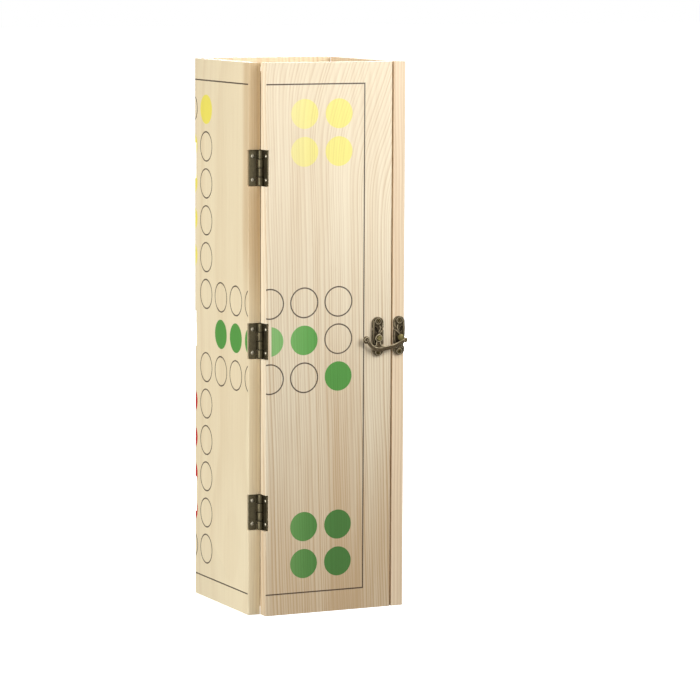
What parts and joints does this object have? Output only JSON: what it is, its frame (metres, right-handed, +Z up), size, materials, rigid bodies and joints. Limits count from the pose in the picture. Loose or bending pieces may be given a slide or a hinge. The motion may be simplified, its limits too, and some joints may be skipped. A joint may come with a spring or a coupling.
{
  "type": "fold-out bottle box",
  "caption": "Tall hinged wooden bottle box whose printed walls swing outwards and lie flat as one square race-game board, held shut by a swing hook latch.",
  "frame": {"origin": "middle of the closed box's footprint at the floor, the latch included", "axes": "+Z up along the boards, +Y from the front wall to the back wall, +X from the left wall to the right wall"},
  "size_m": [0.1184, 0.119, 0.388],
  "materials": {
    "printed_pine": "sanded pale pine, matt clear coat, screen-printed lines and discs",
    "plain_pine": "sanded pale pine, bare",
    "dark_bronze": "antique bronze plating, darkened, satin",
    "worn_bronze": "antique bronze plating, rubbed brighter on the high spots",
    "bronze_fixings": "antique bronze plating on small round heads"
  },
  "bodies": {
    "back_wall": {"back_wall": "printed_pine", "top_board": "plain_pine", "bottom_board": "plain_pine", "back_left_top_back_leaf": "dark_bronze", "back_left_middle_back_leaf": "dark_bronze", "back_left_bottom_back_leaf": "dark_bronze", "back_left_top_pin": "bronze_fixings", "back_left_middle_pin": "bronze_fixings", "back_left_bottom_pin": "bronze_fixings", "back_right_top_back_leaf": "dark_bronze", "back_right_middle_back_leaf": "dark_bronze", "back_right_bottom_back_leaf": "dark_bronze", "back_right_top_pin": "bronze_fixings", "back_right_middle_pin": "bronze_fixings", "back_right_bottom_pin": "bronze_fixings", "back_wall_screws": "bronze_fixings"},
    "left_wall": {"left_wall": "printed_pine", "back_left_top_left_leaf": "dark_bronze", "back_left_middle_left_leaf": "dark_bronze", "back_left_bottom_left_leaf": "dark_bronze", "front_left_top_left_leaf": "dark_bronze", "front_left_middle_left_leaf": "dark_bronze", "front_left_bottom_left_leaf": "dark_bronze", "front_left_top_pin": "bronze_fixings", "front_left_middle_pin": "bronze_fixings", "front_left_bottom_pin": "bronze_fixings", "left_wall_screws": "bronze_fixings"},
    "front_wall": {"front_wall": "printed_pine", "front_left_top_front_leaf": "dark_bronze", "front_left_middle_front_leaf": "dark_bronze", "front_left_bottom_front_leaf": "dark_bronze", "front_wall_screws": "bronze_fixings", "hook_plate": "dark_bronze", "hook_plate_nails": "bronze_fixings", "hook_rivet": "worn_bronze"},
    "right_wall": {"right_wall": "printed_pine", "back_right_top_right_leaf": "dark_bronze", "back_right_middle_right_leaf": "dark_bronze", "back_right_bottom_right_leaf": "dark_bronze", "right_wall_screws": "bronze_fixings", "catch_plate": "dark_bronze", "catch_plate_nails": "bronze_fixings", "catch_knob": "worn_bronze"},
    "latch_hook": {"latch_hook": "worn_bronze"}
  },
  "joints": [
    {"name": "left_wall_hinge", "type": "hinge", "parent": "back_wall", "child": "left_wall", "pos_m": [-0.05002, 0.05035, 0.194], "axis": [0, 0, -1], "range_deg": [0, 90]},
    {"name": "front_wall_hinge", "type": "hinge", "parent": "left_wall", "child": "front_wall", "pos_m": [-0.05002, -0.04495, 0.194], "axis": [0, 0, -1], "range_deg": [0, 90]},
    {"name": "right_wall_hinge", "type": "hinge", "parent": "back_wall", "child": "right_wall", "pos_m": [0.04828, 0.05035, 0.194], "axis": [0, 0, 1], "range_deg": [0, 90]},
    {"name": "hook_pivot", "type": "hinge", "parent": "front_wall", "child": "latch_hook", "pos_m": [0.03583, -0.0571, 0.1934], "axis": [0, 1, 0], "range_deg": [0, 90]}
  ]
}
